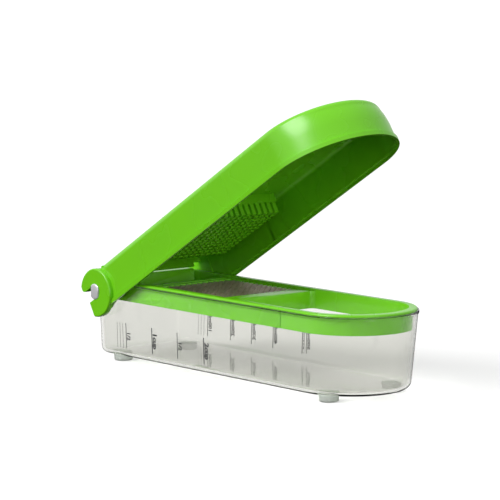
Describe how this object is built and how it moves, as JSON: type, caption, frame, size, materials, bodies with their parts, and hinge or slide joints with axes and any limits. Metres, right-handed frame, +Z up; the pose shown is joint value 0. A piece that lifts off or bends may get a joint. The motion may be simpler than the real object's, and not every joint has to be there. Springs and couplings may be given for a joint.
{
  "type": "lidded vegetable dicer",
  "caption": "Press-type vegetable dicer: hinged lid with a field of pins over a square blade grid, in a frame that lifts off a clear measuring tub with a round nose and soft feet.",
  "frame": {"origin": "under the middle of the bounding box, on the plane that the feet stand on", "axes": "+X from the hinge to the round nose, +Y across to the far side, +Z up"},
  "size_m": [0.2972, 0.1052, 0.2055],
  "materials": {
    "clear_plastic": "clear, polished",
    "green_plastic": "satin to glossy lime green",
    "blade_steel": "rolled stainless strip",
    "pin_steel": "turned and polished",
    "foot_rubber": "translucent white, soft"
  },
  "bodies": {
    "tub_body": {"tub": "clear_plastic", "foot_rear_near": "foot_rubber", "foot_rear_far": "foot_rubber", "foot_front_near": "foot_rubber", "foot_front_far": "foot_rubber"},
    "frame_body": {"top_frame": "green_plastic", "hinge_pin_near": "pin_steel", "hinge_pin_far": "pin_steel", "blade_holder": "green_plastic", "blade_long_01": "blade_steel", "blade_long_02": "blade_steel", "blade_long_03": "blade_steel", "blade_long_04": "blade_steel", "blade_long_05": "blade_steel", "blade_long_06": "blade_steel", "blade_long_07": "blade_steel", "blade_long_08": "blade_steel", "blade_long_09": "blade_steel", "blade_long_10": "blade_steel", "blade_long_11": "blade_steel", "blade_long_12": "blade_steel", "blade_long_13": "blade_steel", "blade_cross_01": "blade_steel", "blade_cross_02": "blade_steel", "blade_cross_03": "blade_steel", "blade_cross_04": "blade_steel", "blade_cross_05": "blade_steel", "blade_cross_06": "blade_steel", "blade_cross_07": "blade_steel", "blade_cross_08": "blade_steel", "blade_cross_09": "blade_steel", "blade_cross_10": "blade_steel", "blade_cross_11": "blade_steel", "blade_cross_12": "blade_steel", "blade_cross_13": "blade_steel"},
    "lid_body": {"lid": "green_plastic", "pusher": "green_plastic"}
  },
  "joints": [
    {"name": "frame_lift", "type": "slide", "parent": "tub_body", "child": "frame_body", "axis": [0, 0, 1], "range_m": [0, 0.045]},
    {"name": "lid_hinge", "type": "hinge", "parent": "frame_body", "child": "lid_body", "pos_m": [-0.12975, 0, 0.053], "axis": [0, -1, 0], "range_deg": [-30.5, 61.5]}
  ]
}
